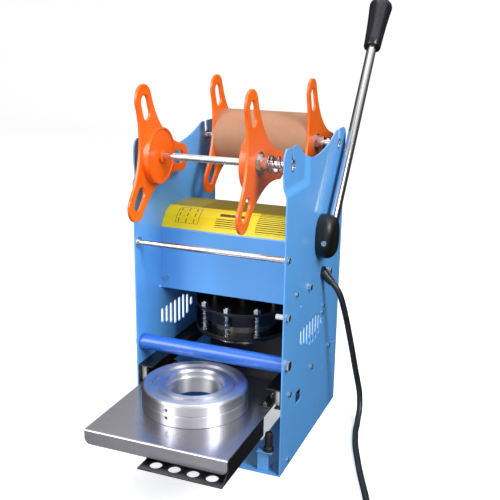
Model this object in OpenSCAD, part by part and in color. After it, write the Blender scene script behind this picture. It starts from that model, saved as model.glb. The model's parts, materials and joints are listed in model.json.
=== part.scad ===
// Hand-lever cup sealing machine: two side panels, two film reels, heated cutting head,
// sliding cup tray with a two-part mould ring, and a side lever. Units are mm.
// X runs to the right, Y to the back and Z up. Z = 0 is the resting surface.

/* [Body] */
// Width across the outside of the side panels
body_w = 220; // [214:1:226]
// Depth of the side panels, front edge to rear edge
body_d = 268; // [264:1:276]
// Height of the side panels to the top of the crown
panel_h = 453; // [450:1:456]
// Thickness of the side panels
panel_t = 2; // [1.5:0.1:2]
// Thickness of the blue cover sheet
cover_t = 1.5; // [1:0.1:1.8]
// Thickness of the base plate
base_t = 2; // [1.5:0.1:3]

/* [Reels] */
// Height of the rear reel axis
reel_z = 430; // [428:0.5:432]
// Drop of the front reel axis below the rear one
front_reel_drop = 2.5; // [0:0.5:4]
// Front reel axis, from the front edge
front_reel_y = 31; // [29:0.5:32]
// Rear reel axis, from the front edge
rear_reel_y = 233; // [232:0.5:235]
// Reel shaft diameter
reel_shaft_d = 10; // [9:0.1:10]
// Journal diameter at the shaft ends
journal_d = 16; // [15.9:0.02:16]
// Seat bore diameter in the panels
seat_d = 16.1; // [16.08:0.01:16.14]
// Clear gap between the two flanges of a reel
roll_gap = 148; // [146:0.5:149]
// Outer diameter of the film core
core_od = 86; // [82:0.5:90]
// Inner diameter of the film core
core_id = 76.6; // [76.2:0.1:78]
// Tip radius of the three flange arms
arm_tip_r = 101; // [97:0.5:101]

/* [Lever and cam] */
// Main shaft axis, from the front edge
shaft_y = 150; // [149:0.5:151]
// Main shaft axis height
shaft_z = 304; // [303:0.5:305]
// Main shaft diameter
shaft_d = 14; // [12:0.1:14]
// Lean of the lever from upright at rest
lever_lean = 37; // [34:0.5:40]
// Lever rod diameter
lever_rod_d = 15; // [13:0.5:16]
// Distance from the shaft to the lower end of the grip
grip_start = 328; // [300:1:335]
// Offset of the cam centre from the shaft
cam_offset = 11.43; // [11:0.01:11.5]
// Cam disc radius
cam_r = 20; // [19.5:0.1:20]

/* [Sealing head] */
// Head axis, from the front edge
head_y = 134; // [133:0.5:135]
// Radius of the upper head plate
head_r = 72; // [70:0.5:72]
// Inner radius of the cutter ring
cutter_ri = 51; // [50.5:0.1:51.5]
// Outer radius of the cutter ring
cutter_ro = 55.5; // [54.5:0.1:56]
// Cutter edge height at rest
cutter_z = 151; // [150:0.5:152]

/* [Tray and ring] */
// Top face height of the tray plate
tray_z = 107.5; // [107:0.1:108]
// Half width of the tray plate
tray_hw = 98; // [96:0.5:98]
// Front edge of the tray plate, ahead of the panels
tray_front = 157; // [150:1:160]
// Ring axis, ahead of the panel front edge
ring_front = 38; // [37:0.5:39]
// Outer radius of the mould ring
ring_r = 71; // [68:0.5:71.5]
// Cup opening radius in the upper ring
cup_r = 38.8; // [36.5:0.1:40]
// Cup opening radius in the lower ring
cup_low_r = 36; // [34:0.1:36.4]

/* [Rollers and cord] */
// Blue film roller diameter
roller_d = 22; // [20:0.5:22]
// Front guide rod diameter
guide_rod_d = 8; // [6:0.5:9]
// Power cord diameter
cord_d = 9; // [8:0.5:10]

/* [Hidden] */

$fn = 64;
half_w = body_w / 2;
inner_x = half_w - panel_t;

blue = [0.36, 0.60, 0.86];
roller_blue = [0.12, 0.38, 0.85];
orange = [0.98, 0.42, 0.10];
steel = [0.75, 0.76, 0.78];
black = [0.05, 0.05, 0.06];
alu = [0.82, 0.83, 0.85];
white_nylon = [0.92, 0.92, 0.90];

// Crown of the side panels: control points of the saddle between the two lobes, as [y, z]
saddle_z = panel_h - 24.4;
saddle_back = [[216, panel_h - 1], [180, panel_h - 17], [150, saddle_z], [112, saddle_z]];
saddle_front = [[112, saddle_z], [85, saddle_z], [72, panel_h - 14], [46.5, panel_h - 0.5]];
saddle_steps = 8;
slot_w = 9;
slot_len = 40;
front_slot_lean = 14;
rear_slot_lean = 7;

// The front lobe is pressed inwards, with an eased step below it and another behind it
lobe_in = 4;
lobe_z = [391, 405];
lobe_y = [76, 94];
lobe_steps = 8;

// Vent slots: pitch, half width, and the top and bottom ends of the eight slots
vent_y = 76;
vent_pitch = 14;
vent_r = 4.2;
vent_top = [190, 190, 190, 190, 190, 190, 186, 177];
vent_bottom = [167, 163, 157, 151, 150, 150, 153, 163];

// Cut-outs and screws of the side panels as [y, z], and their controls
square_y = [59, 84];
square_z = [81, 100];
shaft_seat_d = 20;
large_screws = [[9, 309], [29, 112], [130, 112], [220, 112]];
short_screws = [[181, 192], [177, 182], [49, 250], [30, 11]];
hex_bolts = [[11, 230], [105, 244], [205, 240]];
knob_y = 110;
knob_z = 275;
knob_shaft_d = 6;
switch_y = 165;
switch_z = 265;
rocker_in = 1.5;
rocker_pin_d = 2.4;

// Heights of the sheet frames
rail_z0 = 101.5;
rail_z1 = 129.5;
rail_t = 1.5;
rail_y1 = 248;
bridge_z = 232;
bridge_t = 4;
back_y = 208;
back_z0 = 131;
back_z1 = 250;
guard_y = 250;
guard_z1 = 142;
vent_window_top = 170;
vent_window_low = 84;

// Film rollers and rods
roller_y = 14;
roller_z = 161;
guide_rod_y = 9;
guide_rod_z = 309;
axle_d = 8;

// Head stack
plate_z0 = 198;
plate_z1 = 202;
post_d = 16;
guide_d = 10;
guide_x = 48;
guide_top = 285;
run_gap = 0.05;
bolt_r = 66.5;
carrier_z0 = 160;
carrier_z1 = 165.5;
heater_z0 = 155.2;
heater_z1 = 176;
bolt_angles = [270, 232, 308, 90];

// Cam and yoke
cam_rise = cam_offset * sin(41);
cam_fwd = cam_offset * cos(41);
yoke_gap = 0.6;
yoke_z = shaft_z + cam_rise;
yoke_hh = cam_r + yoke_gap;
yoke_bar = 4;
yoke_y0 = 113;
yoke_y1 = 167;
yoke_hx = 8;

// Lever: offsets of its line from the shaft, and the rod's seats in hub and grip
lever_out = 13;
lever_back = 5;
rod_seat = 16;
rod_in_grip = 18;
hub_front = 123.5;

// Tray
tray_t = 1.5;
tray_rear = 75;
lip_h = 19.5;
skirt_z = 80;
skirt_x0 = -14;
seam_z = tray_z + 16;
ring_top = tray_z + 32;

// Reel layout: inner faces of the flange plates
flange_t = 3.5;
hub_r = 38;
hub_len = 10.5;
dish_depth = 1.5;
collar_r = 9;
front_left_x = -91.5;
front_right_x = front_left_x + roll_gap;
rear_left_x = -77;
rear_right_x = rear_left_x + roll_gap;
arm_angles = [350, 110, 230];
arm_hw = 20;
arm_bite_r = 118.6;
arm_bite_d = 160;
front_side = half_w - lobe_in;
front_reel = [0, front_reel_y, reel_z - front_reel_drop];
rear_reel = [0, rear_reel_y, reel_z];
journal_in = 1.5;
neck_len = 3.2;
nut_len = 5;
thin_nut_len = 4.2;
nut_flange_t = 1.6;
front_nut_d = 31;
rear_nut_d = 27;
flange_slot_r = 9.5;
slot_in_r = 61.5;
slot_out_r = 77.5;

// Mains cord: out of the tapered relief, down to the floor, forward and into the coil
gland_y = 169;
gland_z = 247;
relief_tilt = 45;
relief_pitch = 4.24;
relief_ribs = 5;
relief_base_r = 8;
cord_r = cord_d / 2;
cord_route = [[126, 169, 233], [132, 169, 227], [138, 170, 217], [142, 173, 203], [145, 178, 187],
    [148, 184, 168], [151, 189, 148], [154, 194, 128], [157, 199, 107], [160, 204, 86],
    [163, 209, 66], [166, 212, 48], [168, 211, 32], [170, 204, 19], [171, 193, 10],
    [173, 179, 5], [175, 164, 4.5], [179, 146, 4.5], [184, 126, 4.5], [190, 106, 4.5],
    [197, 86, 4.5], [204, 66, 4.5], [211, 47, 4.5], [218, 29, 4.5], [226, 9, 4.5],
    [234, -12, 4.5], [241, -34, 4.5], [247, -57, 4.5], [251, -80, 4.5], [253, -103, 4.5],
    [254, -125, 4.5]];
cord_sides = 10;

// Coil of the spare cord, two turns wide and two high, and the plug beside it
coil_x = 200;
coil_y = -125;
coil_turn_r = 54;
coil_in_r = coil_turn_r - 4 * cord_r;
coil_out_r = coil_turn_r + cord_r;
coil_h = 2 * cord_d;
coil_chamfer = 2.6;
plug_x = coil_x - 32;
plug_z = 1.5 * cord_d;
boot_len = 26;
plug_len = 34;
plug_hw = 18;
pin_len = 17;

// ---------- helpers ----------
module bar_x(x0, x1, y, z, d) {
    translate([x0, y, z])
        rotate([0, 90, 0])
            cylinder(h = x1 - x0, d = d);
}

// Sheet drawn in the Y-Z plane, from x0, of thickness t
module yz_sheet(x0, t, pts) {
    translate([x0, 0, 0])
        rotate([90, 0, 90])
            linear_extrude(height = t)
                polygon(pts);
}

module box(x0, x1, y0, y1, z0, z1) {
    translate([x0, y0, z0])
        cube([x1 - x0, y1 - y0, z1 - z0]);
}

module tube_z(x, y, z0, z1, ro, ri) {
    translate([x, y, z0])
        difference() {
            cylinder(h = z1 - z0, r = ro);
            translate([0, 0, -1])
                cylinder(h = z1 - z0 + 2, r = ri);
        }
}

// Pan head on the outer face of a panel, side is 1 for right and -1 for left
module pan_head(side, y, z, d, h) {
    x0 = side > 0 ? half_w : -half_w - h;
    difference() {
        bar_x(x0, x0 + h, y, z, d);
        bar_x(side > 0 ? x0 + h - 0.8 : x0 - 1, side > 0 ? x0 + h + 1 : x0 + 0.8, y, z, d * 0.35);
    }
}

module hex_head(side, y, z, d, h) {
    x0 = side > 0 ? half_w : -half_w - h;
    translate([x0, y, z])
        rotate([0, 90, 0])
            cylinder(h = h, d = d, $fn = 6);
}

// ---------- frame ----------
module base_plate() {
    color(blue)
        difference() {
            union() {
                box(-inner_x, inner_x, 0, body_d, 0, base_t);
                box(-inner_x, -inner_x + base_t, 30, body_d - 28, 0, 20);
                box(inner_x - base_t, inner_x, 30, body_d - 28, 0, 20);
            }
            box(-52, 52, 82, body_d - 36, -1, base_t + 1);
        }
}

module vent_cut(x0, x1) {
    for (i = [0 : 7]) {
        y = vent_y + i * vent_pitch;
        bar_x(x0, x1, y, vent_top[i] - vent_r, vent_r * 2);
        bar_x(x0, x1, y, vent_bottom[i] + vent_r, vent_r * 2);
        box(x0, x1, y - vent_r, y + vent_r, vent_bottom[i] + vent_r, vent_top[i] - vent_r);
    }
}

module seat_cut(reel, lean) {
    translate([inner_x - lobe_in - 1, reel[1], reel[2]]) {
        rotate([0, 90, 0])
            cylinder(h = panel_t + lobe_in + 2, d = seat_d);
        rotate([lean, 0, 0])
            translate([0, -slot_w / 2, 0])
                cube([panel_t + lobe_in + 2, slot_w, slot_len]);
    }
}

// Points of an eased step: from x at place a to x - lobe_in at place b
function eased(x, a, b) = [for (i = [0 : lobe_steps]) let(t = i / lobe_steps)
    [x - lobe_in * t * t * (3 - 2 * t), a + (b - a) * t]];

// Everything inward of the panel face at x: pressed in only where it is both high and forward
module behind_face(x) {
    front = -30;
    back = body_d + 20;
    top = panel_h + 20;
    translate([0, back, 0])
        rotate([90, 0, 0])
            linear_extrude(height = back - front)
                polygon(concat([[0, -1], [x, -1]], eased(x, lobe_z[0], lobe_z[1]),
                    [[x - lobe_in, top], [0, top]]));
    translate([0, 0, -1])
        linear_extrude(height = top + 1)
            polygon(concat([[0, back], [x, back]], eased(x, lobe_y[1], lobe_y[0]),
                [[x - lobe_in, front], [0, front]]));
}

// Points of a cubic curve through its first and last control point, from step first to last
function curve(c, first, last, n) = [for (i = [first : last]) let(t = i / n, u = 1 - t)
    u * u * u * c[0] + 3 * u * u * t * c[1] + 3 * u * t * t * c[2] + t * t * t * c[3]];

module panel_outline() {
    n = saddle_steps;
    back_corner = [[body_d, panel_h - 13], [body_d - 4, panel_h - 4], [body_d - 12, panel_h]];
    saddle = concat(curve(saddle_back, 0, n, n), curve(saddle_front, 1, n, n));
    front_corner = [[6, panel_h - 0.5], [1, panel_h - 3.5], [-2.5, panel_h - 9], [-3.5, panel_h - 15]];
    front_edge = [[-3.5, panel_h - 29], [-1, panel_h - 50], [0, lobe_z[0]], [0, 0]];
    yz_sheet(inner_x - lobe_in - 1, panel_t + lobe_in + 2,
        concat([[body_d, 0]], back_corner, saddle, front_corner, front_edge));
}

// Right-hand panel without its own cut-outs
module panel_sheet() {
    c0 = inner_x - 1;
    c1 = half_w + 1;
    difference() {
        intersection() {
            panel_outline();
            difference() {
                behind_face(half_w);
                behind_face(inner_x);
            }
        }
        seat_cut(front_reel, front_slot_lean);
        seat_cut(rear_reel, rear_slot_lean);
        vent_cut(c0, c1);
        bar_x(c0, c1, shaft_y, shaft_z, shaft_seat_d);
        bar_x(c0, c1, roller_y, roller_z, axle_d);
        bar_x(c0, c1, 70, 227, 5);
        bar_x(c0, c1, 243, 110, 8);
        bar_x(c0, c1, 242, 155, 4);
        box(c0, c1, square_y[0], square_y[1], square_z[0], square_z[1]);
        box(c0, c1, 187, 192, 82, 92);
    }
}

module side_panel_left() {
    color(blue)
        difference() {
            mirror([1, 0, 0])
                panel_sheet();
            bar_x(-half_w - 1, -inner_x + 1, knob_y, knob_z, knob_shaft_d + 2);
            box(-half_w - 1, -inner_x + 1, switch_y - 13.5, switch_y + 13.5, switch_z - 6, switch_z + 6);
        }
}

module side_panel_right() {
    color(blue)
        difference() {
            panel_sheet();
            bar_x(inner_x - 1, half_w + 1, gland_y, gland_z, 14);
        }
}

cover_profile = [[75, 223.5], [75, 314], [80, 323], [88, 333], [98, 340], [108, 342], [138, 341.5],
    [186, 338], [190, 334], [190, 252], [back_y + 2, 252], [back_y + 2, 250],
    [190 - cover_t, 250], [190 - cover_t, 333.2], [185.4, 336.5], [138, 340], [108.3, 340.5],
    [98.7, 338.6], [89, 332], [81.2, 322.2], [75 + cover_t, 313.6], [75 + cover_t, 223.5]];

module head_cover() {
    color(blue)
        yz_sheet(-inner_x, inner_x * 2, cover_profile);
}

// Printed sheet over the chamfer and the top of the cover
module cover_label() {
    d = 0.25;
    color([0.95, 0.85, 0.05])
        yz_sheet(-inner_x + 0.5, inner_x * 2 - 1, [[76, 315.8], [80, 323], [88, 333], [98, 340], [108, 342],
            [138, 341.5], [184, 338.15], [184, 338.15 + d], [138 - d, 341.5 + d], [108 - d, 342 + d],
            [98 - d, 340 + d], [88 - d, 333 + d], [80 - d, 323 + d], [76 - d, 315.8 + d]]);
}

module small_screws() {
    color(steel)
        for (side = [-1, 1]) {
            for (p = large_screws)
                pan_head(side, p[0], p[1], 8, 2.5);
            for (p = short_screws)
                pan_head(side, p[0], p[1], 6, 2);
            translate([side * 100, 75, 239])
                rotate([90, 0, 0])
                    cylinder(h = 2, d = 7);
        }
}

module panel_bolts() {
    color(steel)
        for (side = [-1, 1]) {
            hex_head(side, roller_y, roller_z, 15, 5);
            for (p = hex_bolts)
                hex_head(side, p[0], p[1], 10, 4);
        }
}

module front_guide_rod() {
    color(steel) {
        bar_x(-inner_x, inner_x, guide_rod_y, guide_rod_z, guide_rod_d);
        bar_x(-inner_x, -inner_x + 1.6, guide_rod_y, guide_rod_z, 16);
        bar_x(inner_x - 1.6, inner_x, guide_rod_y, guide_rod_z, 16);
    }
}

module guide_bridge() {
    color(black)
        difference() {
            union() {
                box(-inner_x, inner_x, 92, 178, bridge_z, bridge_z + bridge_t);
                box(-inner_x, -inner_x + 3, 92, 150, bridge_z, 254);
                box(inner_x - 3, inner_x, 92, 150, bridge_z, 254);
            }
            translate([0, head_y, bridge_z - 1])
                cylinder(h = bridge_t + 2, d = post_d + 2 * run_gap);
            translate([-guide_x, head_y, bridge_z - 1])
                cylinder(h = bridge_t + 2, d = guide_d + 2 * run_gap);
            translate([guide_x, head_y, bridge_z - 1])
                cylinder(h = bridge_t + 2, d = guide_d + 2 * run_gap);
        }
}

module rail(side) {
    web = side > 0 ? [inner_x - rail_t, inner_x] : [-inner_x, -inner_x + rail_t];
    top = side > 0 ? [86, inner_x] : [-inner_x, -86];
    low = side > 0 ? [99, inner_x] : [-inner_x, -99];
    color(black) {
        box(web[0], web[1], 0, rail_y1, rail_z0, rail_z1);
        box(top[0], top[1], 0, rail_y1, rail_z1 - rail_t, rail_z1);
        box(low[0], low[1], 0, rail_y1, rail_z0, rail_z0 + rail_t);
    }
}

module rail_left() {
    rail(-1);
}

module rail_right() {
    rail(1);
}

// Folded guard: upper wall behind the head, and a lower wall behind the cup that clears the tray;
// the film comes down between them and turns forward under the upper wall. Both walls are open
// behind the right panel's vents
module back_plate() {
    color(black)
        difference() {
            union() {
                box(-inner_x, inner_x, back_y, back_y + 2, back_z0, back_z1);
                box(-inner_x, inner_x, guard_y, guard_y + 2, base_t + 1, guard_z1);
                for (x = [-inner_x, inner_x - 2]) {
                    box(x, x + 2, 194, back_y + 1, back_z0, back_z1);
                    box(x, x + 2, back_y, guard_y + 1, back_z0, guard_z1);
                }
            }
            box(-100, 100, guard_y - 1, guard_y + 3, guard_z1 - 18, guard_z1 + 1);
            box(62, inner_x - 5, back_y - 1, back_y + 3, back_z0 - 1, vent_window_top);
            box(50, inner_x - 10, guard_y - 1, guard_y + 3, vent_window_low, guard_z1 - 17);
        }
}

module main_bush(side) {
    x0 = side > 0 ? inner_x - 6 : -half_w;
    f0 = side > 0 ? inner_x - 6 : -inner_x;
    difference() {
        union() {
            bar_x(x0, x0 + panel_t + 6, shaft_y, shaft_z, shaft_seat_d);
            bar_x(f0, f0 + 6, shaft_y, shaft_z, 26);
        }
        bar_x(x0 - 1, x0 + panel_t + 7, shaft_y, shaft_z, shaft_d + 2 * run_gap);
    }
}

module main_bushes() {
    color([0.72, 0.52, 0.25]) {
        main_bush(-1);
        main_bush(1);
    }
}

module stop_bracket() {
    color(blue) {
        box(75, 91, 4, 6, base_t, 33);
        box(75, 91, 4, 24, base_t, base_t + 2);
        box(75, 97, 0, 14, 31, 33);
    }
}

module stop_bumper() {
    color(black)
        translate([90, 7, 33])
            rotate_extrude()
                polygon([[0, 0], [7, 0], [7, 5], [5.5, 7], [5.5, 24], [5, 27], [3.5, 28.5], [0, 29]]);
}

// ---------- cord and controls ----------
// Ribbed taper, thick end at the origin, along +Z
module relief_taper() {
    rib = [[0, 0], [0, 0.65], [1.1, 0.65], [1.1, 1]];
    ribs = [for (i = [0 : relief_ribs - 1]) for (p = rib)
        [relief_base_r - 0.45 * i - p[0], (i + p[1]) * relief_pitch]];
    rotate_extrude()
        polygon(concat([[0, 0]], ribs, [[0, relief_ribs * relief_pitch]]));
}

module cord_gland() {
    len = relief_ribs * relief_pitch;
    color(black) {
        bar_x(inner_x - 5, half_w + 3.5, gland_y, gland_z, 14);
        bar_x(half_w, half_w + 3.5, gland_y, gland_z, 20);
        difference() {
            translate(cord_route[0] - len * [sin(relief_tilt), 0, -cos(relief_tilt)])
                rotate([0, 180 - relief_tilt, 0])
                    relief_taper();
            box(inner_x - 20, half_w, gland_y - 20, gland_y + 20, gland_z - 20, gland_z + 20);
        }
    }
}

function unit3(v) = v / norm(v);
function step_dir(p, i) = unit3(p[min(i + 1, len(p) - 1)] - p[max(i - 1, 0)]);
function across(v, t) = unit3(v - t * (v * t));
function side_dirs(p, i, acc) = i == len(p) ? acc
    : side_dirs(p, i + 1, concat(acc, [across(acc[i - 1], step_dir(p, i))]));

// Tube with n sides along the points p; its end rings square to the first and last step
module swept_tube(p, r, n) {
    side = side_dirs(p, 1, [across([0, 1, 0], step_dir(p, 0))]);
    rings = [for (i = [0 : len(p) - 1]) for (k = [0 : n - 1])
        p[i] + r * (cos(360 * k / n) * side[i] + sin(360 * k / n) * cross(step_dir(p, i), side[i]))];
    walls = [for (i = [0 : len(p) - 2]) for (k = [0 : n - 1])
        [i * n + k, (i + 1) * n + k, (i + 1) * n + (k + 1) % n, i * n + (k + 1) % n]];
    start_cap = [for (k = [0 : n - 1]) k];
    end_cap = [for (k = [1 : n]) len(p) * n - k];
    polyhedron(points = rings, faces = concat(walls, [start_cap, end_cap]), convexity = 10);
}

module power_cord() {
    color(black)
        swept_tube(cord_route, cord_r, cord_sides);
}

module cord_coil() {
    c = coil_chamfer;
    color(black)
        translate([coil_x, coil_y, 0])
            rotate_extrude()
                polygon([[coil_in_r + c, 0], [coil_out_r - c, 0], [coil_out_r, c],
                    [coil_out_r, coil_h - c], [coil_out_r - c, coil_h], [coil_in_r + c, coil_h],
                    [coil_in_r, coil_h - c], [coil_in_r, c]]);
}

module plug_blade(x, y, turn) {
    translate([x, y, boot_len + plug_len])
        rotate([0, 0, turn])
            translate([-3.15, -0.8, -1])
                cube([6.3, 1.6, pin_len + 1]);
}

// Plug lying flat beside the coil, its blades pointing along -X
module power_plug() {
    z1 = boot_len + plug_len;
    color(black)
        translate([plug_x, coil_y - coil_turn_r, plug_z])
            rotate([0, -90, 0]) {
                cylinder(h = boot_len + 1, r1 = 5.5, r2 = 9);
                rotate([0, 90, 0])
                    translate([0, 0, -plug_z])
                        linear_extrude(height = 2 * plug_z)
                            polygon([[-boot_len, -9], [-boot_len - 9, -plug_hw], [-z1 + 3, -plug_hw],
                                [-z1, -plug_hw + 3], [-z1, plug_hw - 3], [-z1 + 3, plug_hw],
                                [-boot_len - 9, plug_hw], [-boot_len, 9]]);
                plug_blade(3, -7, 60);
                plug_blade(3, 7, 120);
                plug_blade(-6, 0, 0);
            }
}

module thermostat_body() {
    color([0.80, 0.80, 0.78]) {
        box(-inner_x, -inner_x + 22, knob_y - 18, knob_y + 18, knob_z - 18, knob_z + 18);
        bar_x(-half_w - 8, -inner_x + 4, knob_y, knob_z, knob_shaft_d);
    }
}

module thermostat_knob() {
    color(black)
        translate([-half_w - 0.6, knob_y, knob_z])
            rotate([0, -90, 0])
                difference() {
                    union() {
                        cylinder(h = 4, r = 17);
                        translate([0, 0, 4])
                            cylinder(h = 12, r = 13);
                        translate([0, -2, 4])
                            cube([16, 4, 1.2]);
                    }
                    translate([0, 0, -1])
                        cylinder(h = 11, d = knob_shaft_d + 2 * run_gap);
                }
}

module switch_body() {
    color(black)
        difference() {
            union() {
                box(-half_w - 1.6, -half_w, switch_y - 16, switch_y + 16, switch_z - 8.5, switch_z + 8.5);
                box(-half_w, -inner_x + 20, switch_y - 13.5, switch_y + 13.5, switch_z - 6, switch_z + 6);
            }
            box(-half_w - 3, -half_w + 6, switch_y - 12, switch_y + 12, switch_z - 5, switch_z + 5);
            translate([-half_w + rocker_in, switch_y, switch_z - 5.8])
                cylinder(h = 11.6, d = rocker_pin_d + 2 * run_gap);
        }
}

// Rocker on two pins, pressed in at the rear end when off
module switch_rocker() {
    color([0.12, 0.12, 0.13])
        translate([-half_w + rocker_in, switch_y, switch_z]) {
            translate([0, 0, -4.6])
                linear_extrude(height = 9.2)
                    polygon([[-2.5, -11.2], [-5.1, -10.8], [-3.3, 0], [-2.7, 11.2], [0, 11],
                        [3.5, 3], [3.5, -3]]);
            translate([0, 0, -5.6])
                cylinder(h = 11.2, d = rocker_pin_d);
        }
}

module film_pin() {
    color(white_nylon) {
        bar_x(95, inner_x, 11, 230, 7);
        bar_x(inner_x - 2, inner_x, 11, 230, 11);
    }
}

// ---------- film rollers ----------
module roller_axle() {
    color(steel)
        bar_x(-half_w, half_w, roller_y, roller_z, axle_d);
}

module film_roller() {
    color(roller_blue)
        difference() {
            bar_x(-inner_x + 1, inner_x - 1, roller_y, roller_z, roller_d);
            bar_x(-inner_x, inner_x, roller_y, roller_z, axle_d + 2 * run_gap);
        }
}

// ---------- sealing head ----------
module yoke() {
    zc = yoke_z;
    color(steel)
        difference() {
            union() {
                box(-yoke_hx, yoke_hx, yoke_y0, yoke_y1, zc - yoke_hh - yoke_bar, zc + yoke_hh + yoke_bar);
                translate([0, head_y, plate_z1])
                    cylinder(h = zc - yoke_hh - yoke_bar + 1 - plate_z1, d = post_d);
            }
            box(-yoke_hx - 1, yoke_hx + 1, yoke_y0 + 4.5, yoke_y1 - 4.2, zc - yoke_hh, zc + yoke_hh);
        }
}

module guide_posts() {
    color(steel)
        for (x = [-guide_x, guide_x])
            translate([x, head_y, plate_z1]) {
                cylinder(h = guide_top - plate_z1, d = guide_d);
                translate([0, 0, guide_top - plate_z1 - 4])
                    cylinder(h = 4, d = 19);
            }
}

module return_springs() {
    color(steel) {
        tube_z(-guide_x, head_y, bridge_z + bridge_t, guide_top - 4, 8.6, 6);
        tube_z(guide_x, head_y, bridge_z + bridge_t, guide_top - 4, 8.6, 6);
    }
}

module head_plate() {
    color(black)
        difference() {
            translate([0, head_y, plate_z0])
                cylinder(h = plate_z1 - plate_z0, r = head_r);
            for (a = bolt_angles)
                translate([bolt_r * cos(a), head_y + bolt_r * sin(a), plate_z0 - 1])
                    cylinder(h = 6, d = 6);
        }
}

module heat_shield() {
    color(black)
        tube_z(0, head_y, 178, plate_z0, 60, 58.4);
}

module heater_block() {
    color(alu)
        difference() {
            union() {
                translate([0, head_y, heater_z0])
                    cylinder(h = heater_z1 - heater_z0, r = 48.5);
                translate([0, head_y, heater_z1])
                    cylinder(h = plate_z0 - heater_z1, r = 17);
            }
            tube_z(0, head_y, heater_z1 - 10, heater_z1 + 1, 38, 22);
        }
}

module heating_element() {
    color([0.45, 0.44, 0.42])
        tube_z(0, head_y, heater_z1 - 10, heater_z1 - 2, 37.5, 22.5);
}

module cutter_carrier() {
    color(black)
        tube_z(0, head_y, carrier_z0, carrier_z1, 71.5, 50);
}

module cutter_ring() {
    color(steel)
        translate([0, head_y, 0])
            rotate_extrude()
                polygon([[cutter_ri, carrier_z0], [cutter_ro, carrier_z0], [cutter_ro, cutter_z],
                    [cutter_ro - 0.8, cutter_z], [cutter_ri, cutter_z + 4]]);
}

module spring_bolts() {
    color(steel)
        for (a = bolt_angles)
            translate([bolt_r * cos(a), head_y + bolt_r * sin(a), carrier_z1]) {
                cylinder(h = 44, d = 6);
                translate([0, 0, plate_z1 - carrier_z1])
                    cylinder(h = 6, d = 11.5, $fn = 6);
            }
}

module head_springs() {
    color(steel)
        for (a = bolt_angles)
            tube_z(bolt_r * cos(a), head_y + bolt_r * sin(a), carrier_z1, plate_z0, 5.4, 3.8);
}

// ---------- lever ----------
module main_shaft() {
    color(steel)
        bar_x(-half_w - 4, half_w + 14, shaft_y, shaft_z, shaft_d);
}

module cam_disc() {
    color(steel)
        difference() {
            bar_x(-7, 7, shaft_y - cam_fwd, shaft_z + cam_rise, cam_r * 2);
            bar_x(-8, 8, shaft_y, shaft_z, shaft_d);
        }
}

// Places its children on the lever's own line, +Z along the rod from beside the shaft
module on_lever_line() {
    translate([half_w + lever_out, shaft_y + lever_back, shaft_z])
        rotate([-lever_lean, 0, 0])
            children();
}

module lever_hub() {
    hx = half_w + 0.6;
    color(black)
        difference() {
            yz_sheet(hx, 25, [[140, 277], [132, 280], [126, 288], [hub_front, 297],
                [hub_front, 313], [128, 326], [135, 335], [144, 340], [152, 341], [162, 337],
                [170, 328], [174, 316], [173, 303], [168, 291], [160, 282], [152, 277]]);
            bar_x(hx - 1, half_w + 14, shaft_y, shaft_z, shaft_d);
            on_lever_line()
                translate([0, 0, rod_seat])
                    cylinder(h = 50, d = lever_rod_d);
        }
}

module hub_screw() {
    color(steel)
        translate([half_w + 14, hub_front, 305])
            rotate([90, 0, 0])
                difference() {
                    cylinder(h = 2.5, d = 8);
                    translate([0, 0, 1.5])
                        cylinder(h = 2, d = 4, $fn = 6);
                }
}

module lever_rod() {
    color(steel)
        on_lever_line()
            translate([0, 0, rod_seat])
                cylinder(h = grip_start + rod_in_grip - rod_seat, d = lever_rod_d);
}

module lever_grip() {
    color(black)
        on_lever_line()
            translate([0, 0, grip_start])
                difference() {
                    rotate_extrude()
                        polygon([[0, 0], [12.6, 0], [13.4, 1], [16.8, 60], [18.2, 76], [18, 80], [15.5, 85],
                            [9, 88.5], [0, 90]]);
                    translate([0, 0, -1])
                        cylinder(h = rod_in_grip + 1, d = lever_rod_d);
                }
}

// ---------- tray ----------
module tray_plate() {
    f = -tray_front;
    lip_r = 8;
    color(steel)
        difference() {
            yz_sheet(-tray_hw, tray_hw * 2, [[tray_rear, tray_z], [f + 2.5, tray_z], [f + 0.9, tray_z - 0.5],
                [f, tray_z - 1.5], [f, tray_z - lip_h], [f + tray_t, tray_z - lip_h],
                [f + tray_t, tray_z - tray_t], [tray_rear, tray_z - tray_t]]);
            for (side = [-1, 1])
                translate([side * (tray_hw - lip_r), f - 1, tray_z - lip_h + lip_r])
                    difference() {
                        box(side > 0 ? 0 : -lip_r - 1, side > 0 ? lip_r + 1 : 0, 0, 5, -lip_r - 1, 0);
                        translate([0, -1, 0])
                            rotate([-90, 0, 0])
                                cylinder(h = 7, r = lip_r);
                    }
            translate([0, -ring_front, tray_z - 5])
                cylinder(h = 10, r = 45);
        }
}

module tray_skirt() {
    z1 = tray_z - tray_t;
    color(black)
        difference() {
            union() {
                yz_sheet(tray_hw - 1.5, 1.5,
                    [[-173, skirt_z], [-36, skirt_z], [-36, z1], [-154, z1], [-154, 91]]);
                box(skirt_x0, tray_hw, -173, -92, skirt_z, skirt_z + 1.5);
                box(skirt_x0, skirt_x0 + 1.5, -150, -92, skirt_z, z1);
            }
            for (i = [0 : 3])
                translate([4 + 25 * i, -158, skirt_z - 1])
                    cylinder(h = 4, d = 15.5);
        }
}

module slide_plate(side) {
    foot = side > 0 ? [84, tray_hw] : [-tray_hw, -84];
    web = side > 0 ? [tray_hw - 3, tray_hw] : [-tray_hw, -tray_hw + 3];
    box(foot[0], foot[1], -15, tray_rear, tray_z, tray_z + 3);
    box(web[0], web[1], 5, tray_rear, tray_z, 124);
}

module slide_plates() {
    color(black) {
        slide_plate(-1);
        slide_plate(1);
    }
}

module glide_shoes() {
    gap = rail_t + 0.4;
    color(white_nylon)
        for (x = [-inner_x + gap, tray_hw])
            for (y = [8, 53])
                box(x, x + inner_x - gap - tray_hw, y, y + 20, rail_z0 + gap, rail_z1 - gap);
}

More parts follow.
